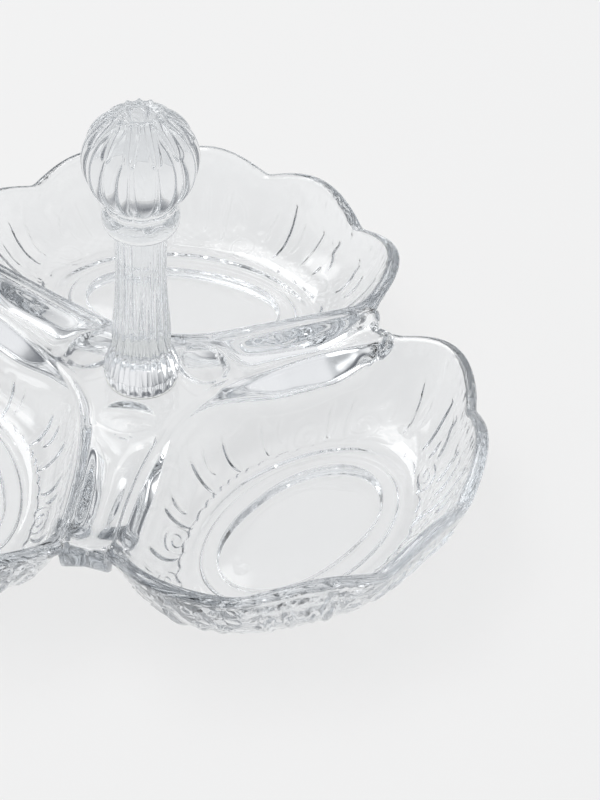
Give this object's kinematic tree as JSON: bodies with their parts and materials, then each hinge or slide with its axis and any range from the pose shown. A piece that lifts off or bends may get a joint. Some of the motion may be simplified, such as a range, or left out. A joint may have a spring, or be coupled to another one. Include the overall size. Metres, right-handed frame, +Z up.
{
  "type": "chip and dip server",
  "caption": "Pressed-glass server: a tray of scalloped oval bowls joined at a raised centre plate, carried by an upright fluted glass handle with a ribbed ball knob.",
  "frame": {"origin": "the point on the table directly below the handle, on the handle's axis", "axes": "+Z up along the handle's axis; +Y from the handle to the middle of one bowl; +X to the right, half way between the other bowls' directions mirrored about Y"},
  "size_m": [0.2366, 0.2283, 0.1369],
  "materials": {
    "tray_glass": "clear pressed glass, fire-polished, with moulded relief on the outside of the walls",
    "handle_glass": "clear pressed glass, solid, polished flutes and ribs",
    "clear_adhesive": "clear cured adhesive film"
  },
  "bodies": {
    "root": {"tray": "tray_glass", "handle_bond": "clear_adhesive", "handle": "handle_glass"}
  },
  "joints": []
}
